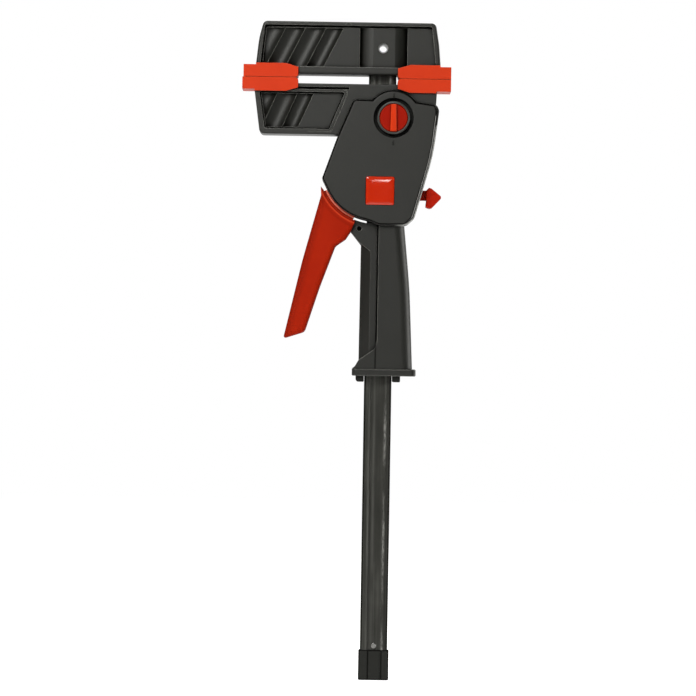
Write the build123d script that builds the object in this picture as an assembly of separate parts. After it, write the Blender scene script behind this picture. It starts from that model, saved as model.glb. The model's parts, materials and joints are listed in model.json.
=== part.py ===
from build123d import *
import os
from math import cos, radians, sin

os.makedirs("parts", exist_ok=True)

# One-hand bar clamp and spreader. Millimetres, +Z up along the rail towards the fixed
# jaw, front face towards -Y, long jaw arms towards -X. The origin is the centre of the
# hanging hole, on the rail's centre line. Outlines are drawn as (x, z) points.

# ---- fits
slip = 0.1             # pieces that stay together
running = 0.4          # moulded pieces that slide past each other
guide_play = 0.15      # guides on the rail
pivot_play = 0.05      # round shafts in their bearings, radial
part_gap = 0.3         # pieces of the mechanism at rest

# ---- rail
rail_width = 18.5
rail_depth = 9.0
rail_wall = 1.4
rail_corner = 1.6
groove_width = 9.4
groove_depth = 1.0
rail_top = 13.0
rail_bottom = -424.3

# ---- fixed jaw and hanging hole
jaw_depth = 32.0
fixed_top = 17.1
fixed_rim = -18.1
fixed_left = -86.2
fixed_left_top = -80.6
fixed_right = 39.4
fixed_right_top = 35.2
jaw_corner = 3.4
jaw_tip_corner = 1.6
pocket_level = 12.8    # half depth left between the two pockets
rim_top_wall = 2.4
rim_end_wall = 3.5
rim_face_wall = 4.8
rim_round = 1.4
body_round = 0.8
channel_depth = 2.4    # narrow channel between a jaw's rim and its pocket's floor
channel_side = 0.9
channel_top = 1.3
scoop_depth = 3.2
scoop_lip = 0.5        # the scoops stop short of the channel
valley_depth = 4.2     # beside the sleeve that holds the rail
hanging_hole = 5.0     # diameter
roll_pin_wall = 0.75
roll_pin_length = 20.0

# ---- clamping faces and pads
clamp_plane = -20.65
pad_gap = 0.3
pad_flange = 2.0
pad_height = 9.2
pad_lip_height = 8.1   # the lip past the jaw's end, which pushes when spreading
pad_shoulder = 2.5     # the flange drops by this towards the rail
pad_taper = 8.0
pad_chamfer = 1.25
pad_lip = 7.6
pad_long_end = -57.0
pad_short_end = 10.2
pad_short_outer = 46.0

# ---- moving jaw and head
moving_rim = -24.6
moving_bottom = -58.9
moving_left = -86.9
moving_left_bottom = -82.3
moving_right = 36.9
moving_face_wall = 5.6
moving_back_wall = 3.7
moving_channel = 0.75
pad_slot = (-28.5, -26.8)      # the moving pads' flanges hook over this slot
pad_slot_depth = 4.0
bead_width = 1.6
bead_line = 0.4        # fine line beside the bead that frames the pocket
head_wall = 3.0
cover_rise = 4.0
cover_wall = 2.2
cover_inset = 0.4
cover_side_strip = 1.3
cover_seam = 0.5

# ---- lever
lever_pivot = (-3.76, -80.7)
head_arc = 35.8
lever_width = 25.0
band_width = 22.8
lever_inside = 18.4
lever_spine = 2.8
drum_gap = 0.3
drum_wall = 0.9
band_height = 2.0
hub_radius = 19.2
stub_radius = 3.5
bearing_wall = 2.5
lever_travel = 21.0    # degrees

# ---- drive and brake
drive_arm = 16.5       # from the pivot to either drive pin
drive_pin_radius = 2.0
plate_thickness = 3.0
plate_width = 17.6     # across the rail, along Y
window_play = 0.2
spring_plate_thickness = 3.5
seat_half_depth = 11.0
spring_radius = 3.1
spring_wire = 0.8
brake_tilt = 2.1       # degrees
brake_hinge_x = -15.5

# ---- release button
button_height = 6.75
button_stem_width = 8.0
button_head_width = 16.0
button_z = -98.6

# ---- mode knob
knob_centre = (7.7, -47.1)
knob_radius = 9.6
knob_collar_radius = 11.0
knob_well_radius = 13.5
knob_well_depth = 5.5
knob_bump_wall = 5.1     # the cover bulges round the knob's well by this wall
knob_shaft_radius = 4.0
knob_ridge_width = 4.4
knob_ridge_rise = 2.2
cam_radius = 5.0
cam_throw = 0.5

# ---- grip and collar
grip_depth = 28.0
grip_left = -13.2
grip_step = -1.0       # the lever's cheeks close up to this step
grip_bottom = -216.2
saddle_depth = 17.2    # thin front of the grip, between the lever's cheeks
collar_height = 4.7
collar_depth = 30.0
lug_height = 4.1

# ---- badge
badge_size = 19.0
badge_centre = (-0.7, -96.3)
badge_thickness = 1.0
badge_gap = 0.3

# ---- end cap and stop pin
cap_foot = 2.0
cap_cover = 18.3       # length of rail inside the cap
cap_wall = 1.0
cap_top = rail_bottom + cap_cover
cap_bottom = rail_bottom - cap_foot
stop_pin_radius = 1.7
stop_pin_z = cap_top + stop_pin_radius + 1.1

# ---- places of the plates and of the pieces that guide the rail
far = 500.0                    # past every end of the clamp
roll_pin_radius = hanging_hole / 2 + roll_pin_wall
pin_reach = drive_pin_radius + part_gap
clamp_drive_z = lever_pivot[1] - pin_reach - plate_thickness
spread_drive_z = lever_pivot[1] + pin_reach
upper_plate_z = -62.5          # upper face of the upper spring plate
lower_plate_z = -97.0          # upper face of the lower spring plate
spread_brake_z = -54.9
clamp_brake_z = -105.5
brake_spring_z = -112.0        # foot of the clamping brake's spring
rail_side = rail_width / 2
window_side = 3.35             # steel beside the rail's window
spring_side = rail_side + running + spring_radius
brake_spring_x = spring_side + 1.85
brake_spring_lift = 0.9        # the tilted brake plate's foot stands this much higher there
guide_height = 6.4
guide_half_width = rail_side + 3.75
guide_half_depth = rail_depth / 2 + 3.9
collar_spigot_x = rail_side + 3.15
collar_spigot_y = rail_depth / 2 + 3.3
collar_spigot_height = 6.0

# ---- screws
screw_shank_radius = 1.5
screw_head_radius = 3.0
screw_head_height = 2.2
screw_head_sink = 0.4
ear_hole = (-14.17, -121.63)
ear_hole_radius = 1.7
# each screw's place in the back half, the half depth of the handle there and the tip's depth
screw_places = [((15.2, grip_bottom + 6.7), grip_depth / 2, 5.5), (ear_hole, saddle_depth / 2, 2.2),
                ((-18.5, -30.5), jaw_depth / 2, 5.5), ((28.0, -30.5), jaw_depth / 2, 5.5)]
ear_hole_depth = 5.8


# ---------------------------------------------------------------- helpers

def at(centre, radius, angle):
    """Point on a circle in the (x, z) drawing."""
    return (centre[0] + radius * cos(radians(angle)), centre[1] + radius * sin(radians(angle)))


def outline(points, radii=0.0):
    """Closed outline with rounded corners."""
    if not isinstance(radii, (list, tuple)):
        radii = [radii] * len(points)
    return make_face(FilletPolyline(*points, radius=list(radii), close=True))


def slab(face, y_low, y_high):
    """A face drawn in (x, z), as a solid between two depths."""
    return Pos(0, y_high, 0) * extrude(Plane.XZ * face, amount=y_high - y_low, dir=(0, -1, 0))


def even_slab(face, depth):
    return slab(face, -depth / 2, depth / 2)


def block(x, y, z):
    """A box from its low and high limits along each axis."""
    size = [side[1] - side[0] for side in (x, y, z)]
    middle = [(side[0] + side[1]) / 2 for side in (x, y, z)]
    return Pos(*middle) * Box(*size)


def rod(centre, radius, y_low, y_high):
    """A cylinder along Y."""
    return slab(Pos(*centre) * Circle(radius), y_low, y_high)


def mirrored(shape):
    """The same shape on the other side of the middle plane."""
    return mirror(shape, about=Plane.XZ)


def cut_both_sides(shape, tools):
    """Take each tool and its mirror image out of a shape."""
    for tool in tools:
        shape -= tool
        shape -= mirrored(tool)
    return shape


def rail_section(grow=0.0):
    """The rail's outer section, grown evenly by a clearance."""
    body = RectangleRounded(rail_width + 2 * grow, rail_depth + 2 * grow, rail_corner + grow)
    floor = rail_depth / 2 - groove_depth + grow
    for side in (-1, 1):
        body -= Pos(0, side * (floor + groove_depth)) * Rectangle(groove_width - 2 * grow, 2 * groove_depth)
    return body


def rail_prism(z_low, z_high, grow=0.0):
    return Pos(0, 0, z_low) * extrude(rail_section(grow), amount=z_high - z_low)


def rail_passage(z_low, z_high, play=running):
    """A plain rectangular way for the rail."""
    half_width = rail_width / 2 + play
    half_depth = rail_depth / 2 + play
    return block((-half_width, half_width), (-half_depth, half_depth), (z_low, z_high))


def coil(x, z_low, z_high, turns):
    """A small compression spring of square wire, standing at y = 0."""
    height = z_high - z_low - spring_wire
    path = Pos(x, 0, z_low + spring_wire / 2) * Helix(height / turns, height, spring_radius - spring_wire / 2)
    start = Plane(path @ 0, x_dir=(0, 0, 1), z_dir=path % 0)
    return sweep(start * Rectangle(spring_wire, spring_wire), path=path, is_frenet=True)


def save(name, shape, colour):
    shape.label = name
    shape.color = Color(*colour)
    export_step(shape, f"parts/{name}.step")


# ---------------------------------------------------------------- jaws and pads

def fixed_jaw_outline():
    height = fixed_top - fixed_rim
    left_bend = (fixed_left + 0.464 * (fixed_left_top - fixed_left), fixed_rim + 0.682 * height)
    right_bend = (fixed_right + 0.429 * (fixed_right_top - fixed_right), fixed_rim + 0.585 * height)
    return outline(
        [(fixed_left, fixed_rim), left_bend, (fixed_left_top, fixed_top),
         (fixed_right_top, fixed_top), right_bend, (fixed_right, fixed_rim)],
        [jaw_tip_corner, 60, jaw_corner, jaw_corner, 60, jaw_tip_corner])


def moving_jaw_outline():
    return outline(
        [(moving_left, moving_rim), (moving_left_bottom, moving_bottom), (0, moving_bottom),
         (moving_right - 1, moving_bottom + 16), (moving_right, moving_rim)],
        [jaw_tip_corner, jaw_corner, 0, 0, jaw_tip_corner])


def jaw_hollows(pocket, floor, ridges, z_ridges, lean):
    """Cuts in one face of a jaw: pocket, channel round its floor and leaning scoops between ridges.

    ridges are the x of each ridge at the height z_ridges, from left to right.
    """
    deepest = -(pocket_level - scoop_depth)
    tools = [slab(pocket, -jaw_depth / 2 - 1, -pocket_level),
             slab(pocket - floor, -jaw_depth / 2, -(pocket_level - channel_depth))]
    room = slab(offset(floor, -scoop_lip, kind=Kind.INTERSECTION), -jaw_depth / 2, deepest)
    for left, right in zip(ridges, ridges[1:]):
        half = (right - left) / 2 * cos(radians(lean))
        radius = (half ** 2 + scoop_depth ** 2) / (2 * scoop_depth)
        bar = Rot(0, lean, 0) * Cylinder(radius, 120)
        tools.append(room & Pos((left + right) / 2, deepest - radius, z_ridges) * bar)
    return tools


def sleeve_valley(outer, crest, z_low, z_high):
    """One of the two valleys that leave a rounded sleeve standing round the rail."""
    above, deep = -pocket_level - 1, -(pocket_level - valley_depth)
    towards = 1 if outer > crest else -1
    edges = TangentArc((crest, -pocket_level), (outer, deep), tangent=(towards, 0.15))
    edges += Polyline((outer, deep), (outer, above), (crest, above), (crest, -pocket_level))
    face = make_face(edges)
    return Pos(0, 0, z_low) * extrude(face, amount=z_high - z_low, dir=(0, 0, 1))


def fixed_jaw():
    pocket_low, pocket_top = fixed_rim + rim_face_wall, fixed_top - rim_top_wall
    pocket = outline(
        [(fixed_left + rim_end_wall, pocket_low), (fixed_left_top + rim_end_wall / 5, pocket_top),
         (fixed_right_top - 0.7 * rim_end_wall, pocket_top), (fixed_right - rim_end_wall, pocket_low)],
        [0.8, 1.2, 1.2, 0.8])
    floor = pocket & Pos(channel_side, -channel_top) * pocket
    jaw = even_slab(fixed_jaw_outline(), jaw_depth)
    jaw = fillet(jaw.faces().sort_by(Axis.Y)[0].outer_wire().edges(), rim_round)
    jaw = fillet(jaw.faces().sort_by(Axis.Y)[-1].outer_wire().edges(), rim_round)
    tools = jaw_hollows(pocket, floor, [-88.0, -72.3, -59.0, -45.1, -33.4], 0.0, 26.8)
    floor_top = pocket_top - channel_top
    tools.append(sleeve_valley(-rail_side - 6.5, -rail_side + 2.6, pocket_low, floor_top))
    tools.append(sleeve_valley(rail_side + 7.1, rail_side - 1.3, pocket_low, floor_top))
    # a shallow dip in the top rim, where the moulding's gate was
    dip = Pos(-23.6, -jaw_depth / 2, pocket_top) * Rot(0, 45, 0) * Box(3.6, 1.2, 3.6)
    jaw = cut_both_sides(jaw, tools + [dip])
    jaw -= rail_prism(fixed_rim - 1, rail_top, slip)
    jaw -= rod((0, 0), roll_pin_radius + slip, -jaw_depth, jaw_depth)
    return jaw


def pad(inner_end, jaw_end, outer_end, jaw_face, clamp_face, jaw_shape):
    """A slip-on jaw pad: a channel round the jaw's edge with a lip past the jaw's end."""
    up = 1 if jaw_face > clamp_face else -1
    out = 1 if outer_end > inner_end else -1
    top = clamp_face + up * pad_height
    lip_top = clamp_face + up * pad_lip_height
    lip_root = jaw_end - out * 0.7
    points = [(inner_end, clamp_face + up * pad_chamfer), (inner_end + out * pad_chamfer, clamp_face),
              (outer_end, clamp_face), (outer_end, lip_top), (lip_root, lip_top), (lip_root, top),
              (inner_end + out * pad_taper, top), (inner_end, top - up * pad_shoulder)]
    shape = even_slab(outline(points), jaw_depth + 2 * pad_flange)
    return shape - jaw_shape


def pads(jaw_face, clamp_face, jaw_face_outline, left_end, right_end, names):
    """Long and short pad of one jaw."""
    jaw_room = even_slab(offset(jaw_face_outline, slip, kind=Kind.ARC), jaw_depth + 2 * slip)
    ends = [(pad_long_end, left_end, left_end - pad_lip), (pad_short_end, right_end, pad_short_outer)]
    for name, places in zip(names, ends):
        save(name, pad(*places, jaw_face, clamp_face, jaw_room), red)


# ---------------------------------------------------------------- head, grip and their covers

def head_outline(right_inset=0.0):
    """The head as seen from the front, with the arc that the lever turns along."""
    start = at(lever_pivot, head_arc, 205)
    end = at(lever_pivot, head_arc, 260)
    side = right_inset
    foot, foot_right, foot_side = (-0.5, -119.3), (17.6 - side, -119.1), (22.9 - side, -114.2)
    side_bend, top_side, top_right = (35.0 - side, -71.0), (38.4 - side, -41.5), (36.8 - side, -38.1)
    top_left, left_bend, left_point = (-19.2, -35.0), (-30.1, -60.7), (-39.9, -88.4)
    edges = ThreePointArc(start, at(lever_pivot, head_arc, 232), end)
    edges += Polyline(end, foot, foot_right, foot_side, side_bend, top_side, top_right, (22.6, -36.2),
                      top_left, left_bend, left_point, start)
    face = make_face(edges) + Pos(*knob_centre) * Circle(knob_well_radius + knob_bump_wall)
    corners = [(top_left, 3.0), (top_side, 4.0), (top_right, 2.0), (side_bend, 150.0), (foot_side, 6.0),
               (foot_right, 4.0), (foot, 8.0), (left_point, 2.0), (left_bend, 100.0)]
    for place, radius in corners:
        face = fillet(face.vertices().sort_by_distance((*place, 0))[0], radius)
    return face


def cover_outline():
    return offset(head_outline(cover_side_strip), -cover_inset, kind=Kind.ARC)


def grip_panel_outline():
    return outline(
        [(grip_step, -112), (15.4, -112), (20.4, -162), (22.9, grip_bottom), (-17.7, grip_bottom),
         (-15.8, -214.6), (grip_left, -210.2), (-10.3, -208.3), (-2.4, -202.6), (grip_step, -197)],
        [0, 0, 400, 0, 0, 1.5, 2, 2, 4, 6])


def saddle_outline():
    """The thin front of the grip with the ear beside the lever."""
    ear_top = head_arc + drum_gap * 2 + drum_wall + 0.3
    start = at(lever_pivot, ear_top, 248.3)
    edges = ThreePointArc(start, at(lever_pivot, ear_top, 255), at(lever_pivot, ear_top, 261))
    edges += Polyline(at(lever_pivot, ear_top, 261), (2, -117.5), (2, -212), (grip_left - 0.1, -212),
                      (grip_left + 0.3, -132.9), (-20.2, -123.7), start)
    face = make_face(edges)
    return fillet(face.vertices().sort_by_distance((-20.2, -123.7, 0))[0], 0.8)


def body():
    """Both halves of the handle's main moulding, still in one."""
    head = head_outline()
    shell = even_slab(moving_jaw_outline() + head, jaw_depth)
    outer_faces = shell.faces().sort_by(Axis.Y)
    shell = fillet(outer_faces[0].outer_wire().edges(), body_round)
    shell = fillet(shell.faces().sort_by(Axis.Y)[-1].outer_wire().edges(), body_round)
    # pocket of the jaw, with its scoops
    pocket_low, pocket_top = moving_bottom + moving_back_wall, moving_rim - moving_face_wall
    pocket = outline(
        [(moving_left + 4.0, pocket_top), (-25.2, pocket_top), (-35.6, pocket_low),
         (moving_left_bottom + 3.1, pocket_low)],
        [0.8, 1.0, 1.0, 1.2])
    floor = offset(pocket, -moving_channel, kind=Kind.ARC)
    tools = jaw_hollows(pocket, floor, [-84.0, -70.7, -57.1, -46.3], -31.0, 24.0)
    face_y = -jaw_depth / 2
    tools.append(block((moving_left + 3, -22.4), (face_y - 1, face_y + pad_slot_depth), pad_slot))
    bead = offset(pocket, bead_width, kind=Kind.ARC)
    line = slab(offset(bead, bead_line, kind=Kind.ARC) - bead, face_y - 1, face_y + bead_line)
    line_room = block((-50, 0), (-jaw_depth, 0), (moving_bottom + 2.0, pad_slot[0]))
    tools.append(line & line_room)
    seam_face = cover_outline()
    seam = offset(seam_face, cover_seam, kind=Kind.ARC) - seam_face
    seam &= offset(moving_jaw_outline() + head, -2 * cover_seam, kind=Kind.ARC)
    tools.append(slab(seam, face_y - 1, face_y + 2 * cover_seam))
    shell = cut_both_sides(shell, tools)
    # grip
    panel = even_slab(grip_panel_outline(), grip_depth)
    strap = panel.edges().filter_by(lambda e: abs(abs(e.center().Y) - grip_depth / 2) < 0.01
                                    and e.center().X > 17 and e.length > 20)
    panel = fillet(strap, 7.0)
    saddle = even_slab(saddle_outline(), saddle_depth)
    # the saddle's front edges slope away below the ear, and a fine channel runs beside the panel
    face_y = -saddle_depth / 2
    slope = Polyline((grip_left - 2, face_y - 1), (-6.4, face_y - 1), (-6.4, face_y),
                     (grip_left - 0.1, face_y + 4.4), (grip_left - 2, face_y + 4.4), close=True)
    slope_cut = Pos(0, 0, grip_bottom) * extrude(make_face(slope), amount=90, dir=(0, 0, 1))
    slope_end = make_face(Polyline((-17, -128.9), (-5, -137.9), (-5, -120), (-17, -120), close=True))
    slope_cut -= slab(slope_end, -grip_depth, grip_depth)
    channel = block((grip_step - 1.2, grip_step), (face_y - 1, face_y + 1.6), (-198, -118))
    saddle = cut_both_sides(saddle, [slope_cut, channel])
    shell += panel + saddle
    # room for the mechanism
    room = offset(head, -head_wall, kind=Kind.ARC)
    shell -= even_slab(room, jaw_depth + 2)
    return shell


def split_body(shell):
    """Front and back halves of the main moulding, with the ways cut for what they hold."""
    # the arc is open in the middle, where the lever turns in
    mouth = ring_sector(head_arc - 8, head_arc + drum_gap + drum_wall + 0.2, 193, 271.5)
    shell -= even_slab(mouth, band_width + 2 * running)
    shell -= rail_passage(grip_bottom - 1, moving_rim + 1)
    guide_x, guide_y = guide_half_width + slip, guide_half_depth + slip
    guide_low = moving_rim - guide_height - slip
    shell -= block((-guide_x, guide_x), (-guide_y, guide_y), (guide_low, moving_rim + 1))
    socket_x, socket_y = collar_spigot_x + slip, collar_spigot_y + slip
    shell -= block((-socket_x, socket_x), (-socket_y, socket_y),
                   (grip_bottom - 1, grip_bottom + collar_spigot_height + slip))
    # hollow back of the grip
    hollow_y = grip_depth / 2 - head_wall
    shell -= block((rail_side + 3.2, rail_side + 5.6), (-hollow_y, hollow_y), (-204, -126))
    # seats of the spring plates in the side walls
    seats = [((-31, -24.5), upper_plate_z), ((26, 35), upper_plate_z), ((19.5, 29), lower_plate_z)]
    inside = even_slab(offset(head_outline(), -head_wall / 2, kind=Kind.ARC), jaw_depth)
    for x_range, plate_z in seats:
        z_range = (plate_z - spring_plate_thickness - 2.2, plate_z + 2.2)
        shell += block(x_range, (-seat_half_depth, seat_half_depth), z_range) & inside
    shell += block((brake_spring_x - 3.4, 24), (-7, 7), (brake_spring_z - 3, brake_spring_z)) & inside
    for plate in (upper_spring_plate(slip), lower_spring_plate(slip)):
        shell -= plate
    # way of the release button
    room = button_stem_width / 2 + running
    shell -= block((10, 40), (-room, room),
                   (button_z - button_height / 2 - running, button_z + button_height / 2 + running))
    for place, reach, tip in screw_places:
        shell -= rod(place, screw_shank_radius + pivot_play, -tip - part_gap, jaw_depth)
        shell -= rod(place, screw_head_radius + slip, reach - screw_head_height - screw_head_sink, jaw_depth)
    shell -= rod(ear_hole, ear_hole_radius, -jaw_depth, -saddle_depth / 2 + ear_hole_depth)
    front = shell & block((-far, far), (-far, 0), (-far, far))
    back = shell & block((-far, far), (0, far), (-far, far))
    return front, back


def head_cover(front):
    """A shallow lid on the head; the front one carries the knob's well and the inlay."""
    low, high = jaw_depth / 2, jaw_depth / 2 + cover_rise
    face = cover_outline()
    lid = slab(face, -high, -low)
    lid = fillet(lid.faces().sort_by(Axis.Y)[0].outer_wire().edges(), 1.2)
    hollow = offset(face, -cover_wall, kind=Kind.ARC)
    lid -= slab(hollow, -high + cover_wall, -low + 1)
    # bearing of the lever
    lid += rod(lever_pivot, stub_radius + bearing_wall, -high + cover_wall / 2, -band_width / 2 - part_gap)
    lid -= rod(lever_pivot, stub_radius + pivot_play, -high + cover_wall, 0)
    if front:
        floor = -high + knob_well_depth
        lid += rod(knob_centre, knob_well_radius + 1.8, -high + cover_wall / 2, floor + 2.0)
        lid -= rod(knob_centre, knob_well_radius, -high - 1, floor)
        lid -= rod(knob_centre, knob_shaft_radius + pivot_play, -high, 0)
        side = badge_size / 2 + badge_gap
        recess = Pos(*badge_centre) * RectangleRounded(2 * side, 2 * side, 1.0 + badge_gap)
        lid -= slab(recess, -high - 1, -high + badge_thickness)
        return lid
    return mirrored(lid)


def badge_plate():
    high = jaw_depth / 2 + cover_rise
    plate = Pos(*badge_centre) * RectangleRounded(badge_size, badge_size, 1.0)
    return slab(plate, -high, -high + badge_thickness)


# ---------------------------------------------------------------- lever

def lever_outline():
    """The lever outside the head, down to the arc along which it turns."""
    arc = head_arc + drum_gap
    start = at(lever_pivot, arc + band_height, 204.5)
    end = at(lever_pivot, arc + band_height, 249.5)
    edges = ThreePointArc(start, at(lever_pivot, arc + band_height, 225), end)
    heel, throat, inner_bend = (-20.0, -124.0), (-23.3, -129.1), (-30.1, -133.8)
    inner_edge, tip_inside, tip_outside = (-40.3, -161.7), (-50.0, -192.0), (-64.4, -196.7)
    outer_edge, shoulder, horn, horn_foot = (-52.2, -143.5), (-40.3, -99.5), (-40.6, -93.7), (-38.6, -96.0)
    edges += Polyline(end, heel, throat, inner_bend, inner_edge, tip_inside, tip_outside, outer_edge,
                      shoulder, horn, horn_foot, start)
    face = make_face(edges)
    rounded = [(throat, 5), (inner_bend, 5), (inner_edge, 90), (tip_inside, 4), (tip_outside, 1.2),
               (outer_edge, 300)]
    for place, radius in rounded:
        face = fillet(face.vertices().sort_by_distance((*place, 0))[0], radius)
    return face


def ring_sector(inner, outer, low, high):
    """Part of a ring round the lever's pivot, between two angles."""
    middle = (low + high) / 2
    wedge = make_face(Polyline(lever_pivot, at(lever_pivot, 120, low), at(lever_pivot, 140, middle),
                               at(lever_pivot, 120, high), close=True))
    ring = Pos(*lever_pivot) * Circle(outer)
    if inner:
        ring -= Pos(*lever_pivot) * Circle(inner)
    return ring & wedge


def met_when_squeezed(shape):
    """A shape of the handle as it stands to the fully squeezed lever, brought back to the lever at rest."""
    pivot = (lever_pivot[0], 0, lever_pivot[1])
    return Pos(*pivot) * Rot(0, lever_travel, 0) * Pos(*[-value for value in pivot]) * shape


def lever():
    arc = head_arc + drum_gap
    outer = even_slab(lever_outline(), lever_width)
    rim = outer.edges().filter_by(lambda e: abs(abs(e.center().Y) - lever_width / 2) < 0.01
                                  and e.center().X < -41.5 and e.length > 20)
    outer = fillet(rim, 3.0)
    band = even_slab(ring_sector(arc, arc + band_height + 0.6, 205, 247), band_width)
    inside = offset(lever_outline(), -lever_spine, kind=Kind.ARC)
    open_side = Pos(6, -1.2) * inside + Pos(12, -3) * inside + Pos(3, -0.5) * inside
    inside += open_side + ring_sector(arc + drum_wall, arc + band_height + 4, 209.5, 260)
    shape = outer + band - even_slab(inside, lever_inside)
    # the closed tip and the drum are open where they meet the grip's front and the rail
    half_inside = lever_inside / 2
    half_rail = rail_depth / 2 + running
    shape -= met_when_squeezed(block((grip_left - 2 * running, 5), (-half_inside, half_inside), (-216, -196)))
    shape -= met_when_squeezed(block((-rail_width / 2 - running, 5), (-half_rail, half_rail), (-122, -110)))
    # arms inside the head, from the band to the hub
    arm = ring_sector(0, arc + drum_wall / 2, 207, 247) + Pos(*lever_pivot) * Circle(hub_radius)
    cheek = slab(arm, -band_width / 2, -lever_inside / 2)
    stub_end = jaw_depth / 2 + cover_rise - cover_wall - part_gap
    cheek += rod(lever_pivot, stub_radius, -stub_end, -band_width / 2)
    for side in (-1, 1):
        pin_place = (lever_pivot[0] + side * drive_arm, lever_pivot[1])
        cheek -= rod(pin_place, drive_pin_radius + pivot_play / 2, -jaw_depth, 0)
    return shape + cheek + mirrored(cheek)


def drive_pins():
    half = band_width / 2
    pins = [rod((lever_pivot[0] + side * drive_arm, lever_pivot[1]), drive_pin_radius, -half, half)
            for side in (-1, 1)]
    return Compound(pins)


# ---------------------------------------------------------------- plates and springs

def rail_window(z_low, z_high):
    half_width = rail_width / 2 + window_play
    half_depth = rail_depth / 2 + window_play
    return block((-half_width, half_width), (-half_depth, half_depth), (z_low, z_high))


def rail_plate(x_low, x_high, z_low, width=plate_width):
    """A steel plate with a window for the rail."""
    plate = block((x_low, x_high), (-width / 2, width / 2), (z_low, z_low + plate_thickness))
    plate = fillet(plate.edges().filter_by(Axis.Z), 2.0)
    return plate - rail_window(z_low - 1, z_low + plate_thickness + 1)


def spring_plate(x_low, x_high, z_top, flange_to, hooks, grow):
    """A pressed steel plate round the rail, with a flange and hooks that hold a brake plate."""
    half = plate_width / 2 - 0.2 + grow
    z_low = z_top - spring_plate_thickness
    plate = block((x_low - grow, x_high + grow), (-half, half), (z_low - grow, z_top + grow))
    flange = sorted((flange_to, z_top if flange_to > z_top else z_low))
    plate += block((-19 - grow, -16 + grow), (-half, half), (flange[0] - grow, flange[1] + grow))
    for hook in hooks:
        plate += block((-16.5, -13.6 + grow), (-half, half), (hook - 0.75, hook + 0.75))
    if grow:
        return plate
    return plate - rail_window(z_low - 40, z_top + 40)


def upper_spring_plate(grow=0.0):
    hooks = [spread_brake_z - part_gap - 0.75, spread_brake_z + plate_thickness + part_gap + 0.75]
    return spring_plate(-27.2, 30.5, upper_plate_z, hooks[1] + 0.75, hooks, grow)


def lower_spring_plate(grow=0.0):
    hook = clamp_brake_z - part_gap - 0.75
    plate = spring_plate(-19, 24.8, lower_plate_z, hook - 0.75, [hook], grow)
    # a fork, so that the button's stem passes between its arms
    room = button_stem_width / 2 + (running - grow)
    return plate - block((12, 40), (-room, room), (lower_plate_z - 20, lower_plate_z + 20))


def brake_plate(x_high, z_low, tilt):
    plate = rail_plate(-15.7, x_high, z_low)
    hinge = (brake_hinge_x, 0, z_low + plate_thickness / 2)
    return Pos(*hinge) * Rot(0, -tilt, 0) * Pos(*[-v for v in hinge]) * plate


# ---------------------------------------------------------------- knob and button

def mode_knob():
    face = jaw_depth / 2 + cover_rise
    floor = face - knob_well_depth
    top = face + 0.2
    knob = rod(knob_centre, knob_radius, -top, -floor - part_gap)
    knob = chamfer(knob.faces().sort_by(Axis.Y)[0].edges(), 0.7)
    knob += rod(knob_centre, knob_shaft_radius, -floor - part_gap, -6.0)
    x, z = knob_centre
    half_top, half_low = knob_ridge_width / 2 - 0.5, knob_ridge_width / 2
    reach = knob_radius - 0.5
    ridge_face = make_face(Polyline((x - half_top, z + reach), (x + half_top, z + reach),
                                    (x + half_low, z - reach), (x - half_low, z - reach), close=True))
    ridge = slab(ridge_face, -top - knob_ridge_rise, -top + 1.5)
    ridge = chamfer(ridge.faces().sort_by(Axis.Y)[0].edges(), 0.5)
    return knob + ridge


def knob_collar():
    face = jaw_depth / 2 + cover_rise
    low, high = face - knob_well_depth + part_gap, face + 0.6
    ring = rod(knob_centre, knob_collar_radius, -high, -low)
    ring = chamfer(ring.faces().sort_by(Axis.Y)[0].edges(), 0.5)
    return ring - rod(knob_centre, knob_radius + slip, -high - 1, -low + 1)


def mode_cam():
    x, z = knob_centre
    floor = jaw_depth / 2 + cover_rise - knob_well_depth - 2.0
    cam = rod((x, z + cam_throw), cam_radius, -floor + part_gap, -6.0)
    return cam - rod(knob_centre, knob_shaft_radius + slip / 2, -floor, 0)


def release_button():
    low, high = button_z - button_height / 2, button_z + button_height / 2
    stem_reach = 14.5
    nose = 0.6
    stem = outline([(stem_reach, high), (31.5, high), (31.5, low), (20.5, low),
                    (stem_reach, low + nose * (20.5 - stem_reach))])
    shape = even_slab(stem, button_stem_width)
    head = outline([(30.6, -95.2), (32.5, -93.3), (34.2, -93.9), (41.4, -99.7), (34.4, -107.1),
                    (32.8, -107.5), (30.2, -106.6), (30.7, -101.5)], [0.6, 0.8, 1, 1.6, 0.8, 0.8, 0.8, 2])
    head = even_slab(head, button_head_width)
    head = chamfer(head.faces().sort_by(Axis.Y)[0].edges() + head.faces().sort_by(Axis.Y)[-1].edges(), 0.6)
    return shape + head


# ---------------------------------------------------------------- rail fittings

def grip_collar():
    low = grip_bottom - collar_height
    plate = block((-17.7, 25.3), (-collar_depth / 2, collar_depth / 2), (low, grip_bottom))
    plate = fillet(plate.edges().filter_by(Axis.Z), 3.0)
    plate = chamfer(plate.faces().sort_by(Axis.Z)[0].edges() + plate.faces().sort_by(Axis.Z)[-1].edges(), 0.5)
    for x_low, x_high, corner in ((-15.1, -9.5, 2.0), (9.5, 15.0, 1.0)):
        lug = even_slab(outline([(x_low, low + 1), (x_high, low + 1), (x_high, low - lug_height),
                                 (x_low, low - lug_height)], [0, 0, 0.8, corner]), 12)
        plate += lug
    plate += block((-collar_spigot_x, collar_spigot_x), (-collar_spigot_y, collar_spigot_y),
                   (grip_bottom, grip_bottom + collar_spigot_height))
    return plate - rail_prism(low - 10, grip_bottom + 20, guide_play)


def rail_guide():
    low = moving_rim - guide_height
    guide = block((-guide_half_width, guide_half_width), (-guide_half_depth, guide_half_depth),
                  (low, moving_rim))
    return guide - rail_prism(low - 1, moving_rim + 1, guide_play)


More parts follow.
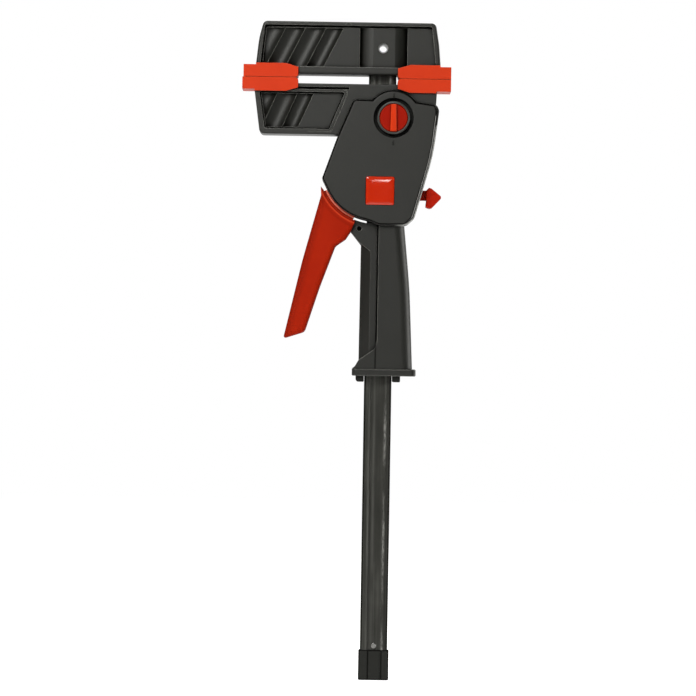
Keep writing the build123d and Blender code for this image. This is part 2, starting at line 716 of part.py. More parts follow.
def end_cap():
    width, depth = rail_width + 2 * cap_wall, rail_depth + 2 * cap_wall
    section = RectangleRounded(width, depth, rail_corner + 0.4)
    cap = Pos(0, 0, cap_bottom) * extrude(section, amount=cap_top - cap_bottom)
    cap = chamfer(cap.faces().sort_by(Axis.Z)[0].edges() + cap.faces().sort_by(Axis.Z)[-1].edges(), 0.5)
    cap -= rail_prism(rail_bottom, cap_top + 1, slip / 2)
    panel_width = groove_width - 2 * part_gap
    panel = slab(Pos(0, (cap_top + cap_bottom) / 2) * Rectangle(panel_width, cap_top - cap_bottom + 2),
                 -depth, -depth / 2 + 0.5)
    return cut_both_sides(cap, [panel])


def screws():
    """Cross-head screws from the back."""
    parts = []
    for (x, z), reach, tip in screw_places:
        face = reach - screw_head_sink
        screw = rod((x, z), screw_shank_radius, -tip, face - screw_head_height + 0.2)
        screw += rod((x, z), screw_head_radius, face - screw_head_height, face)
        recess = (face - 1.2, reach)
        screw -= block((x - 2, x + 2), recess, (z - 0.4, z + 0.4))
        screw -= block((x - 0.4, x + 0.4), recess, (z - 2, z + 2))
        parts.append(screw)
    return Compound(parts)


steel = (0.55, 0.55, 0.56)
red = (0.8, 0.16, 0.08)
dark = (0.25, 0.25, 0.24)

print("stage: rail")
hollow = offset(rail_section(), -rail_wall, kind=Kind.ARC)
rail = Pos(0, 0, rail_bottom) * extrude(rail_section() - hollow, amount=rail_top - rail_bottom)
rail -= rod((0, 0), roll_pin_radius + slip, -rail_depth, rail_depth)
rail -= rod((0, stop_pin_z), stop_pin_radius + pivot_play, -rail_depth, rail_depth)
save("rail", rail, (0.3, 0.3, 0.29))
save("fixed_jaw", fixed_jaw(), dark)
save("roll_pin", rod((0, 0), roll_pin_radius, -roll_pin_length / 2, roll_pin_length / 2)
     - rod((0, 0), hanging_hole / 2, -jaw_depth, jaw_depth), steel)
save("stop_pin", rod((0, stop_pin_z), stop_pin_radius, -rail_depth / 2, rail_depth / 2), steel)
save("end_cap", end_cap(), dark)
pads(fixed_rim, clamp_plane + pad_gap / 2, fixed_jaw_outline(), fixed_left, fixed_right,
     ("fixed_jaw_pad_long", "fixed_jaw_pad_short"))

print("stage: handle")
body_front, body_back = split_body(body())
save("body_front", body_front, dark)
save("body_back", body_back, dark)
save("head_cover_front", head_cover(True), dark)
save("head_cover_back", head_cover(False), dark)
save("badge_plate", badge_plate(), red)
save("rail_guide", rail_guide(), steel)
save("grip_collar", grip_collar(), dark)
save("upper_spring_plate", upper_spring_plate(), steel)
save("lower_spring_plate", lower_spring_plate(), steel)
save("housing_screws", screws(), steel)
pads(moving_rim, clamp_plane - pad_gap / 2, moving_jaw_outline(), moving_left, moving_right,
     ("moving_jaw_pad_long", "moving_jaw_pad_short"))

print("stage: mechanism")
save("lever", lever(), red)
save("drive_pins", drive_pins(), steel)
pin_end = lever_pivot[0] - drive_arm - drive_pin_radius / 2
window_end = rail_side + window_side
spring_end = spring_side + spring_radius
save("clamp_drive_plate", rail_plate(pin_end, window_end, clamp_drive_z), steel)
save("spread_drive_plate", rail_plate(-window_end, spring_end, spread_drive_z), steel)
brake_end = brake_spring_x + spring_radius
save("clamp_brake_plate", brake_plate(brake_end + 1.1, clamp_brake_z, brake_tilt), steel)
save("spread_brake_plate", brake_plate(brake_end + 1.8, spread_brake_z, 0), steel)
save("clamp_drive_spring", coil(-spring_side, lower_plate_z, clamp_drive_z, 4), steel)
upper_seat_z = upper_plate_z - spring_plate_thickness
save("spread_drive_spring", coil(spring_side, spread_drive_z + plate_thickness, upper_seat_z, 4), steel)
save("clamp_brake_spring", coil(brake_spring_x, brake_spring_z, clamp_brake_z + brake_spring_lift, 3), steel)
save("spread_brake_spring", coil(brake_spring_x, upper_plate_z, spread_brake_z, 3), steel)
save("mode_knob", mode_knob(), red)
save("knob_collar", knob_collar(), dark)
save("mode_cam", mode_cam(), steel)
save("release_button", release_button(), red)
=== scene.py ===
import json
import math

import bpy
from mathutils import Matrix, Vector

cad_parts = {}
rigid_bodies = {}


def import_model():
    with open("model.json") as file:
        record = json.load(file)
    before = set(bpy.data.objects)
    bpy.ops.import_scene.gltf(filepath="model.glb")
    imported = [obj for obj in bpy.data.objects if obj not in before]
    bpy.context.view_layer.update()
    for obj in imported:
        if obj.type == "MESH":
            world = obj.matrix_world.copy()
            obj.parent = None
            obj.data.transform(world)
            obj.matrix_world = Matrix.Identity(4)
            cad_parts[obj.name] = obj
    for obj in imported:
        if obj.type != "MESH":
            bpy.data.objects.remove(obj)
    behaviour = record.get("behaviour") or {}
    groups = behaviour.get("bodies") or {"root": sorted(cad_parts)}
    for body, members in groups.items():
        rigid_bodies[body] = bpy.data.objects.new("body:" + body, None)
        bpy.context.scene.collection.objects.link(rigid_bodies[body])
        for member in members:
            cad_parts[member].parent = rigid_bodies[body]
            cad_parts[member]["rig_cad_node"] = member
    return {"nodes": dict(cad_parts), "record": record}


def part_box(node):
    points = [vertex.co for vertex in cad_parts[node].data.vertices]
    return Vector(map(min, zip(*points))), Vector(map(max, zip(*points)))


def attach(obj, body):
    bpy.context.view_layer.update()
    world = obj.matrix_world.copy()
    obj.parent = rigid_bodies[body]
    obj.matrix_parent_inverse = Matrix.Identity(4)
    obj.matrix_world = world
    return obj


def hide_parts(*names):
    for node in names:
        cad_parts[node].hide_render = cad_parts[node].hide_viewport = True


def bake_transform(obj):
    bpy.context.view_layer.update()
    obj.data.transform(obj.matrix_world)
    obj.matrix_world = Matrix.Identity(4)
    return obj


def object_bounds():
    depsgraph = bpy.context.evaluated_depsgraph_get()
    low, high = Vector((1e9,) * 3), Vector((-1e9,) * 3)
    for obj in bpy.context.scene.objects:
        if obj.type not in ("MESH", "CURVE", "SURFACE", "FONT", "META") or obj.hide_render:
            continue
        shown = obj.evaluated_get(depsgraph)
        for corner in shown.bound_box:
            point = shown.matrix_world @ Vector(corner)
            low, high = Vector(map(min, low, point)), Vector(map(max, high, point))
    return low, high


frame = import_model()
cadBox = [list(corner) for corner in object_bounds()]
mm = 0.001
meshRules = {"weld": 1e-6, "smoothAngle": 35, "softAngle": 30, "softSegments": 2, "alongAxis": 0.9,
             "facingFront": -0.999, "samePlane": 1e-6}


# modelling by operators

def clearSelection():
    if bpy.context.object and bpy.context.object.mode != "OBJECT":
        bpy.ops.object.mode_set(mode="OBJECT")
    bpy.ops.object.select_all(action="DESELECT")


def choose(piece):  # the only selected piece, and the active one
    clearSelection()
    piece.select_set(True)
    bpy.context.view_layer.objects.active = piece


def addBlock(name, low, high):  # corners in millimetres
    clearSelection()
    centre = [(a + b) / 2 * mm for a, b in zip(low, high)]
    bpy.ops.mesh.primitive_cube_add(size=1, location=centre)
    piece = bpy.context.object
    piece.name = name
    piece.scale = [(b - a) * mm for a, b in zip(low, high)]
    choose(piece)
    bpy.ops.object.transform_apply(location=True, rotation=True, scale=True)
    return piece


def pick(piece, kind, test):  # edit mode, with only the edges or faces that pass the test selected
    choose(piece)
    bpy.ops.object.mode_set(mode="EDIT")
    bpy.ops.mesh.select_mode(type=kind)
    bpy.ops.mesh.select_all(action="DESELECT")
    bpy.ops.object.mode_set(mode="OBJECT")
    mesh = piece.data
    for item in mesh.edges if kind == "EDGE" else mesh.polygons:
        item.select = bool(test(mesh, item))
    bpy.ops.object.mode_set(mode="EDIT")


def alongY(mesh, edge):
    a, b = (mesh.vertices[i].co for i in edge.vertices)
    return abs(a.y - b.y) > meshRules["alongAxis"] * (a - b).length


def foremost(mesh, face):
    front = min(v.co.y for v in mesh.vertices)
    return face.normal.y < meshRules["facingFront"] and abs(face.center.y - front) < meshRules["samePlane"]


def softenEdges(piece, width):
    choose(piece)
    edgeBevel = piece.modifiers.new("soft edges", "BEVEL")
    edgeBevel.width = width * mm
    edgeBevel.segments = meshRules["softSegments"]
    edgeBevel.limit_method = "ANGLE"
    edgeBevel.angle_limit = math.radians(meshRules["softAngle"])
    bpy.ops.object.modifier_apply(modifier=edgeBevel.name)


def finishPiece(piece, body, material, stretch=None):  # stretch: the other body, and the end points; when it is given the piece is left in place with no body, and the end points are not used
    choose(piece)
    bpy.ops.object.mode_set(mode="EDIT")
    bpy.ops.mesh.select_all(action="SELECT")
    bpy.ops.mesh.remove_doubles(threshold=meshRules["weld"])
    bpy.ops.mesh.normals_make_consistent(inside=False)
    bpy.ops.object.mode_set(mode="OBJECT")
    bpy.ops.object.shade_smooth_by_angle(angle=math.radians(meshRules["smoothAngle"]))
    piece.data.materials.clear()
    piece.data.materials.append(material)
    if stretch:
        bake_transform(piece)
    else:
        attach(piece, body)
    clearSelection()


# shader maths

class Value:  # a socket that takes part in sums
    def __init__(self, look, socket):
        self.look = look
        self.socket = socket

    def __add__(self, other):
        return self.look.maths("ADD", self, other)

    __radd__ = __add__

    def __sub__(self, other):
        return self.look.maths("SUBTRACT", self, other)

    def __rsub__(self, other):
        return self.look.maths("SUBTRACT", other, self)

    def __mul__(self, other):
        return self.look.maths("MULTIPLY", self, other)

    def __pow__(self, other):
        return self.look.maths("POWER", self, other)

    def __abs__(self):
        return self.look.maths("ABSOLUTE", self, 0)


class Look:  # a material and the means to build its nodes
    samples = 6  # of the nodes that look round a point
    edgeTurn = (0.01, 0.22)  # from where an edge shows, to where it shows fully
    dullRoughness = 0.9

    def __init__(self, name):
        self.material = bpy.data.materials.new(name)
        self.material.use_nodes = True
        self.tree = self.material.node_tree
        self.shader = self.tree.nodes["Principled BSDF"]
        self.coordinates = self.node("ShaderNodeTexCoord", {}, {}, "Object")

    def connect(self, target, value):
        if isinstance(value, Value):
            self.tree.links.new(value.socket, target)
        elif isinstance(value, (list, tuple)) and len(value) == 3 and target.type == "RGBA":
            target.default_value = (*value, 1)
        else:
            target.default_value = value

    def node(self, kind, settings, inputs, output=0):
        new = self.tree.nodes.new(kind)
        for key, value in settings.items():
            setattr(new, key, value)
        for key, value in inputs.items():
            self.connect(new.inputs[key], value)
        return Value(self, new.outputs[output])

    def set(self, **sockets):
        for key, value in sockets.items():
            self.connect(self.shader.inputs[key.replace("_", " ")], value)

    def maths(self, operation, first, second):
        return self.node("ShaderNodeMath", {"operation": operation}, {0: first, 1: second})

    def weigh(self, values, shares):  # the values added up, each times its share
        total, *others = (value * share for value, share in zip(values, shares))
        for other in others:
            total = total + other
        return total

    def largest(self, first, *others):
        for other in others:
            first = self.maths("MAXIMUM", first, other)
        return first

    def noise(self, scale, detail=2.0, roughness=0.5, stretch=None):
        place = self.coordinates
        if stretch:
            place = self.node("ShaderNodeMapping", {}, {"Vector": place, "Scale": stretch})
        return self.node("ShaderNodeTexNoise", {}, {"Vector": place, "Scale": scale, "Detail": detail,
                                                    "Roughness": roughness}, "Fac")

    def part(self, name, vector):
        return self.node("ShaderNodeSeparateXYZ", {}, {"Vector": vector}, name)

    def axis(self, name):
        return self.part(name, self.coordinates)

    def facing(self, name):  # one part of the surface's own direction
        return self.part(name, self.node("ShaderNodeTexCoord", {}, {}, "Normal"))

    def spread(self, value, low, high, toLow=0.0, toHigh=1.0):
        return self.node("ShaderNodeMapRange", {"clamp": True},
                         {"Value": value, "From Min": low, "From Max": high,
                          "To Min": toLow, "To Max": toHigh}, "Result")

    def above(self, value, low, high):  # 0 up to low, 1 from high on, in millimetres
        return self.spread(value, low * mm, high * mm)

    def below(self, value, low, high):
        return self.spread(value, low * mm, high * mm, 1.0, 0.0)

    def lane(self, value, centre, width):  # 1 at the centre, 0 from half a width away
        return self.below(abs(value - centre * mm), 0, width / 2)

    def ramp(self, value, stops):
        graded = self.node("ShaderNodeValToRGB", {}, {"Fac": value}, "Color")
        elements = graded.socket.node.color_ramp.elements
        while len(elements) < len(stops):
            elements.new(0.5)
        for element, (place, shade) in zip(elements, stops):
            element.position = place
            element.color = (*shade, 1) if isinstance(shade, tuple) else (shade, shade, shade, 1)
        return graded

    def mix(self, factor, first, second):
        new = self.tree.nodes.new("ShaderNodeMix")
        new.data_type = "RGBA"
        self.connect(new.inputs["Factor"], factor)
        colours = [s for s in new.inputs if s.type == "RGBA"]
        self.connect(colours[0], first)
        self.connect(colours[1], second)
        return Value(self, [s for s in new.outputs if s.type == "RGBA"][0])

    def paintLane(self, value, under, mark):  # mark: place, width, share and colour
        centre, width, share, colour = mark
        return self.mix(self.lane(value, centre, width) * share, under, colour)

    def rounded(self, radius):  # the surface's direction, with its edges rounded
        return self.node("ShaderNodeBevel", {"samples": self.samples}, {"Radius": radius * mm}, "Normal")

    def edges(self, rounded):  # 0 on open faces, towards 1 on edges
        plain = self.node("ShaderNodeNewGeometry", {}, {}, "Normal")
        likeness = self.node("ShaderNodeVectorMath", {"operation": "DOT_PRODUCT"},
                             {0: rounded, 1: plain}, "Value")
        return self.spread(1 - likeness, *self.edgeTurn)

    def openness(self, reach, alone):  # 1 on open faces, towards 0 in narrow recesses
        return self.node("ShaderNodeAmbientOcclusion", {"samples": self.samples, "only_local": alone},
                         {"Distance": reach * mm}, "AO")

    def shadeRecess(self, share, colour):  # painted shade: a dull dark shader, mixed in where share is 1
        dull = self.tree.nodes.new("ShaderNodeBsdfPrincipled")
        self.connect(dull.inputs["Base Color"], colour)
        dull.inputs["Roughness"].default_value = self.dullRoughness
        dull.inputs["Specular IOR Level"].default_value = 0.0
        both = self.tree.nodes.new("ShaderNodeMixShader")
        self.connect(both.inputs["Fac"], share)
        self.tree.links.new(self.shader.outputs[0], both.inputs[1])
        self.tree.links.new(dull.outputs[0], both.inputs[2])
        self.tree.links.new(both.outputs[0], self.tree.nodes["Material Output"].inputs["Surface"])

    def bump(self, height, distance, normal):
        return self.node("ShaderNodeBump", {}, {"Height": height, "Distance": distance * mm,
                                                "Strength": 1.0, "Normal": normal}, "Normal")


print("stage: finishes")
# a noise is its scale, detail, roughness and stretch
plasticRules = {"cloud": (38.0, 3.0), "flow": (60.0, 4.0, 0.6, (1.0, 1.0, 0.28)), "grain": 1000.0,
                "coarse": 260.0, "toneShares": (0.6, 0.4), "tones": (0.15, 0.85), "specks": (0.32, 0.68),
                "speckShare": 0.22, "edgeOpen": (0.48, 0.66), "recessOpen": (0.28, 0.82),
                "recessShade": 0.15, "coatRoughness": 0.06, "bumpShares": (0.7, 0.3),
                "roughen": {"speck": 0.10, "tone": 0.08, "edge": 0.06}}


def mouldedPlastic(name, colour, shade, edgeColour, roughness, grainSize, grainDepth, edgeRadius=0.35,
                   edgeShare=0.5, specular=0.5, coat=0.0, recess=0.9, reach=4.0, alone=True, ridgeHighlight=None,
                   lines=None):
    look, rules = Look(name), plasticRules
    cloud, flow = look.noise(*rules["cloud"]), look.noise(*rules["flow"])
    grain, coarse = (look.noise(rules[kind] / grainSize) for kind in ("grain", "coarse"))
    rounded = look.rounded(edgeRadius)
    tone = look.spread(look.weigh((cloud, flow), rules["toneShares"]), *rules["tones"])
    speck = look.spread(grain, *rules["specks"])
    body = look.mix(tone, shade, colour)
    body = look.mix(speck * rules["speckShare"], body, shade)
    if ridgeHighlight:  # painted highlight: what stands proud is painted lighter
        body = look.mix(look.above(look.axis("Y"), ridgeHighlight["from"], ridgeHighlight["to"]), body, ridgeHighlight["colour"])
    free = look.openness(reach, alone)
    # painted highlight: open edges and ridges are painted in the lighter edge colour
    edge = look.edges(rounded) * look.spread(free, *rules["edgeOpen"])
    body = look.mix(edge * edgeShare, body, edgeColour)
    # painted shade: narrow recesses are mixed towards a dull dark shader
    dull = look.spread(free, *rules["recessOpen"], recess, 0.0)
    if lines:  # parts with a painted highlight lose the painted shade share, sunk lines gain it
        body, paintedLight, sunk = lines(look, body)
        dull = look.largest(dull * (1 - paintedLight), sunk)
    look.shadeRecess(dull, [c * rules["recessShade"] for c in shade])
    rough = rules["roughen"]
    roughness = roughness + (speck - 0.5) * rough["speck"] + (tone - 0.5) * rough["tone"]
    roughness = roughness - edge * rough["edge"]
    height = look.weigh((grain, coarse), rules["bumpShares"])
    look.set(Base_Color=body, Roughness=roughness, Normal=look.bump(height, grainDepth, rounded),
             Specular_IOR_Level=specular, Coat_Weight=coat, Coat_Roughness=rules["coatRoughness"])
    return look.material


# lines drawn on single pieces; places and widths in millimetres
# rim: a painted highlight on the body's outer edge at the head's right side, made patchy by noise; groove: a
# dark line of painted shade along the grip
bodyMarks = {"rim": {"facing": (-0.3, -0.12), "x": (9.0, 14.0), "foot": (-120.0, -119.5),
                     "top": (-53.0, -51.0), "patches": 220.0, "worn": (0.3, 0.6, 0.7, 1.0),
                     "share": 0.9, "colour": (0.50, 0.50, 0.48)},
             "groove": {"x": -1.6, "width": 1.5, "lean": 0.0054, "leanBelow": 119.0,
                        "top": (-119.5, -119.0), "depth": 0.9}}
# cover: painted shade on edges that turn away, a painted highlight on those facing right
coverMarks = {"rounded": (0.06, 0.22), "turned": (0.86, 0.985), "depth": 0.9, "facing": (0.62, 0.78),
              "top": (-46.0, -44.0), "share": 0.9, "colour": (0.36, 0.36, 0.35)}
capMarks = {"panel": ((-3.9, 1.5), (5.1, 1.4)), "side": (9.3, 9.7), "ends": (-406.2, -426.1), "endWidth": 1.6,
            "depth": 0.9}
# the back colour is painted shade; the ledge ring and the lip colour are painted highlights; the hollow and
# groove rings are painted shade
leverMarks = {"pivot": (-3.76, -80.7), "back": ((-40.05, -99.4), (-63.8, -194.9)), "backRound": 5.0,
              "backShare": 0.55, "backColour": (0.15, 0.006, 0.001),
              "rings": ((42.2, 3.0, 0.35, (0.20, 0.008, 0.001)),  # hollow and groove: painted shade; ledge: painted highlight; all round the pivot
                        (39.9, 1.5, 0.6, (0.75, 0.075, 0.025)),
                        (38.9, 1.1, 0.7, (0.08, 0.003, 0.001))),
              "lip": {"reach": 36.7, "width": 1.7, "colour": (0.80, 0.22, 0.15)}}


def bodyLines(look, body):  # a painted highlight on the outer edge at the head's right side, and painted shade along the grip's long groove
    rim, groove = bodyMarks["rim"], bodyMarks["groove"]
    x, z = look.axis("X"), look.axis("Z")
    # painted highlight on the body's edge beside the cover, at the head's right
    rubbed = look.spread(look.facing("Y"), *rim["facing"], 1.0, 0.0) * look.above(x, *rim["x"])
    rubbed = rubbed * look.above(z, *rim["foot"]) * look.below(z, *rim["top"])
    rubbed = rubbed * look.spread(look.noise(rim["patches"]), *rim["worn"])
    # painted shade: a dark line along the grip's groove
    across = x - (z + groove["leanBelow"] * mm) * groove["lean"]
    sunk = look.lane(across, groove["x"], groove["width"]) * look.below(z, *groove["top"])
    return look.mix(rubbed * rim["share"], body, rim["colour"]), rubbed, sunk * groove["depth"]


def coverLines(look, body):  # painted shade where its edge turns away, and a painted highlight on the outer right of it
    flat, z = abs(look.facing("Y")), look.axis("Z")
    rounded = look.spread(flat, *coverMarks["rounded"])
    light = look.spread(look.facing("X"), *coverMarks["facing"]) * look.below(z, *coverMarks["top"])
    light = light * rounded
    turned = look.spread(flat, *coverMarks["turned"], coverMarks["depth"], 0.0) * rounded
    return look.mix(light * coverMarks["share"], body, coverMarks["colour"]), light, turned * (1 - light)


def capLines(look, body):  # two panel lines and a dark outline
    x, z = look.axis("X"), look.axis("Z")
    dark = [look.lane(x, centre, width) for centre, width in capMarks["panel"]]
    dark += [look.lane(z, centre, capMarks["endWidth"]) for centre in capMarks["ends"]]
    dark.append(look.above(abs(x), *capMarks["side"]))
    return body, 0, look.largest(*dark) * capMarks["depth"]


def leverLines(look, body):  # painted shade along the back edge, as if rounded, and round the pivot painted shade in the hollow and groove and painted highlights on the ledge and lip
    x, z = look.axis("X"), look.axis("Z")
    px, pz = (c * mm for c in leverMarks["pivot"])
    reach = ((x - px) * (x - px) + (z - pz) * (z - pz)) ** 0.5
    (ax, az), (bx, bz) = leverMarks["back"]
    length = math.hypot(bx - ax, bz - az)
    depth = (x - ax * mm) * ((az - bz) / length) + (z - az * mm) * ((bx - ax) / length)
    # painted shade along the back edge
    back = look.spread(depth, 0, leverMarks["backRound"] * mm, leverMarks["backShare"], 0.0)
    body = look.mix(back, body, leverMarks["backColour"])
    for ring in leverMarks["rings"]:
        body = look.paintLane(reach, body, ring)
    # the lip colour is a painted highlight
    lip = leverMarks["lip"]
    paintedLight = look.lane(reach, lip["reach"], lip["width"])
    return look.mix(paintedLight, body, lip["colour"]), paintedLight, 0


charcoalTone = {"colour": (0.0070, 0.0073, 0.0050), "shade": (0.0044, 0.0046, 0.0030), "roughness": 0.48,
                "grainSize": 0.45, "grainDepth": 0.01, "alone": False}
# the pale edge colour is a painted highlight on edges and ridges
paleEdgeHighlight = {"edgeColour": (0.38, 0.38, 0.35), "edgeRadius": 0.45, "edgeShare": 0.9}
capTone = {"roughness": 0.5, "grainSize": 0.5, "grainDepth": 0.015, "alone": False, "reach": 3.0}
charcoal = mouldedPlastic("glass filled charcoal", **charcoalTone, **paleEdgeHighlight)
frontCharcoal = mouldedPlastic("body charcoal", **charcoalTone, **paleEdgeHighlight, lines=bodyLines)
coverCharcoal = mouldedPlastic("cover charcoal", **charcoalTone, edgeColour=(0.10, 0.10, 0.09),
                               edgeRadius=0.3, edgeShare=0.4, lines=coverLines)
padRed = mouldedPlastic("pad red", colour=(0.66, 0.045, 0.009), shade=(0.56, 0.032, 0.005),
                        edgeColour=(0.86, 0.13, 0.05), roughness=0.42, grainSize=0.7, grainDepth=0.02,
                        edgeRadius=0.4, edgeShare=0.7, specular=0.10)
leverRed = mouldedPlastic("lever red", colour=(0.42, 0.019, 0.003), shade=(0.34, 0.012, 0.002),
                          edgeColour=(0.72, 0.10, 0.04), roughness=0.48, grainSize=0.6, grainDepth=0.02,
                          edgeRadius=0.4, edgeShare=0.45, specular=0.04, lines=leverLines)
# the knob's ridge colour is a painted highlight
knobRed = mouldedPlastic("knob red", colour=(0.36, 0.009, 0.001), shade=(0.29, 0.006, 0.001),
                         edgeColour=(0.75, 0.09, 0.03), roughness=0.34, grainSize=0.8, grainDepth=0.008,
                         edgeRadius=0.55, edgeShare=0.8, specular=0.06,
                         ridgeHighlight={"from": -20.7, "to": -21.3, "colour": (0.62, 0.036, 0.006)})
buttonRed = mouldedPlastic("button red", colour=(0.50, 0.013, 0.001), shade=(0.42, 0.010, 0.001),
                           edgeColour=(0.66, 0.07, 0.02), roughness=0.36, grainSize=0.8, grainDepth=0.008,
                           edgeRadius=0.4, specular=0.08, recess=0.5)
inlayRed = mouldedPlastic("inlay red", colour=(0.60, 0.030, 0.006), shade=(0.50, 0.018, 0.003),
                          edgeColour=(0.66, 0.06, 0.02), roughness=0.14, grainSize=2.0, grainDepth=0.003,
                          edgeRadius=0.3, edgeShare=0.3, specular=0.2, coat=1.0)
collarGrey = mouldedPlastic("collar grey", colour=(0.042, 0.043, 0.038), shade=(0.028, 0.028, 0.025),
                            edgeColour=(0.10, 0.10, 0.095), roughness=0.35, grainSize=0.5, grainDepth=0.02)
endCapBlack = mouldedPlastic("end cap black", colour=(0.0085, 0.0090, 0.0065), shade=(0.0055, 0.0058, 0.0042),
                             edgeColour=(0.02, 0.02, 0.018), specular=0.32, lines=capLines, **capTone)
capBlack = mouldedPlastic("cap black", colour=(0.0055, 0.0060, 0.0042), shade=(0.0035, 0.0038, 0.0026),
                          edgeColour=(0.06, 0.06, 0.055), specular=0.28, **capTone)

railRules = {"drawn": (420.0, 4.0, 0.65, (1.0, 1.0, 0.018)), "fine": (1500.0, 3.0, 0.6, (1.0, 1.0, 0.01)),
             "cloud": (55.0, 4.0, 0.6, (1.0, 1.0, 0.35)), "millScale": (700.0, 5.0, 0.7),
             "strips": (26.0, 3.0, 0.6, (1.0, 1.0, 0.5)), "dashes": (900.0, 3.0, 0.7, (1.0, 1.0, 0.25)),
             "toneShares": (0.45, 0.4, 0.15), "tones": (0.34, 0.66),
             "stops": ((0.0, (0.018, 0.018, 0.015)), (0.5, (0.040, 0.040, 0.035)),
                       (1.0, (0.085, 0.085, 0.077))),
             "worn": {"shares": (0.5, 0.5), "range": (0.60, 0.72), "share": 0.55,
                      "colour": (0.30, 0.295, 0.28)},
             "fading": (0.40, 0.60, 0.25, 1.0),
             # lanes: two lighter ones, and at -3.8 mm painted shade on the groove's left wall; darkLane and
             # corner: painted shade; the lane at 5.3 mm: a painted highlight
             "fadedLanes": ((-5.3, 2.6, 0.62, (0.14, 0.14, 0.13)), (-2.0, 2.8, 0.40, (0.14, 0.14, 0.13)),
                            (-3.8, 1.2, 0.5, (0.014, 0.014, 0.012))),
             "darkLane": (7.2, 3.0, 0.6, (0.014, 0.014, 0.012)),
             "rubbed": {"x": 5.3, "width": 2.6, "strips": (0.42, 0.54), "dashes": (0.42, 0.60, 0.2, 1.0),
                        "share": 0.8, "colour": (0.38, 0.377, 0.36)},
             "corner": {"x": (7.9, 8.5), "share": 0.97, "colour": (0.006, 0.006, 0.005)},
             "metallic": {"plain": 0.55, "worn": 0.35, "corner": 0.45},
             "roughness": {"plain": 0.40, "millScale": 0.22, "worn": 0.10},
             "edgeRadius": 0.5, "grainDepth": 0.05, "bumpShares": (0.5, 0.3, 0.2)}


def burnishedSteel(name):
    look, rules = Look(name), railRules
    drawn, fine, cloud = (look.noise(*rules[kind]) for kind in ("drawn", "fine", "cloud"))
    millScale, strips, dashes = (look.noise(*rules[kind]) for kind in ("millScale", "strips", "dashes"))
    across = look.axis("X")
    tone = look.spread(look.weigh((drawn, cloud, fine), rules["toneShares"]), *rules["tones"])
    wear = rules["worn"]
    worn = look.spread(look.weigh((millScale, drawn), wear["shares"]), *wear["range"])
    steel = look.ramp(tone, rules["stops"])
    steel = look.mix(worn * wear["share"], steel, wear["colour"])
    # two lighter lanes broken into patches, and at -3.8 mm painted shade on the groove's left wall
    patchy = look.spread(strips, *rules["fading"])
    for centre, width, share, colour in rules["fadedLanes"]:
        steel = look.mix(look.lane(across, centre, width) * share * patchy, steel, colour)
    # painted shade on the right shoulder of the rail
    steel = look.paintLane(across, steel, rules["darkLane"])
    # painted highlight along the lit right wall of the groove, broken into dashes
    lane = rules["rubbed"]
    rubbed = look.lane(across, lane["x"], lane["width"])
    rubbed = rubbed * look.spread(strips, *lane["strips"]) * look.spread(dashes, *lane["dashes"])
    steel = look.mix(rubbed * lane["share"], steel, lane["colour"])
    # painted shade: the rounded corners turn dark and more metallic, so near black
    inner, outer = rules["corner"]["x"]
    corner = look.spread(abs(across), inner * mm, outer * mm, 0.0, rules["corner"]["share"])
    steel = look.mix(corner, steel, rules["corner"]["colour"])
    metal, rough = rules["metallic"], rules["roughness"]
    height = look.weigh((drawn, fine, millScale), rules["bumpShares"])
    look.set(Base_Color=steel, Metallic=metal["plain"] + worn * metal["worn"] + corner * metal["corner"],
             Roughness=rough["plain"] + (millScale - 0.5) * rough["millScale"] - worn * rough["worn"],
             Normal=look.bump(height, rules["grainDepth"], look.rounded(rules["edgeRadius"])))
    return look.material


evenly = (1.0, 1.0, 1.0)
steelRules = {"rubbed": (900.0, 3.0, 0.6), "cloud": (120.0, 3.0), "toneShares": (0.6, 0.4),
              "tones": (0.3, 0.7), "shade": 0.7, "edgeRadius": 0.3, "edgeShare": 0.4, "edgeGain": 1.5,
              "roughen": 0.2, "grainDepth": 0.02}


def plainSteel(name, colour, roughness, stretch=evenly):
    look, rules = Look(name), steelRules
    rubbed, cloud = look.noise(*rules["rubbed"], stretch), look.noise(*rules["cloud"])
    rounded = look.rounded(rules["edgeRadius"])
    tone = look.spread(look.weigh((rubbed, cloud), rules["toneShares"]), *rules["tones"])
    steel = look.mix(tone, [c * rules["shade"] for c in colour], colour)
    # painted highlight: edges painted lighter than the steel
    edgeColour = [min(1, c * rules["edgeGain"]) for c in colour]
    steel = look.mix(look.edges(rounded) * rules["edgeShare"], steel, edgeColour)
    look.set(Base_Color=steel, Metallic=1.0, Roughness=roughness + (rubbed - 0.5) * rules["roughen"],
             Normal=look.bump(rubbed, rules["grainDepth"], rounded))
    return look.material


railSteel = burnishedSteel("burnished rail")
pinSteel = plainSteel("cut pin end", (0.36, 0.36, 0.35), 0.22)
plateSteel = plainSteel("blanked plate", (0.42, 0.42, 0.43), 0.34, (1.0, 0.05, 1.0))
wireSteel = plainSteel("spring wire", (0.50, 0.50, 0.51), 0.28)
screwBlack = plainSteel("blackened screws", (0.10, 0.10, 0.10), 0.36)

finishOf = {"rail": railSteel, "end_cap": endCapBlack, "mode_knob": knobRed, "release_button": buttonRed,
            "knob_collar": collarGrey, "badge_plate": inlayRed, "stop_pin": pinSteel, "lever": leverRed,
            "housing_screws": screwBlack, "body_front": frontCharcoal}
for nodeName, node in frame["nodes"].items():
    if nodeName in finishOf:
        finish = finishOf[nodeName]
    elif "_pad_" in nodeName:
        finish = padRed
    elif nodeName.endswith("_spring"):
        finish = wireSteel
    elif nodeName.startswith("head_cover_"):
        finish = coverCharcoal
    elif nodeName.startswith(("body_", "fixed_jaw", "grip_collar")):
        finish = charcoal
    else:
        finish = plateSteel
    node.data.materials.clear()
    node.data.materials.append(finish)

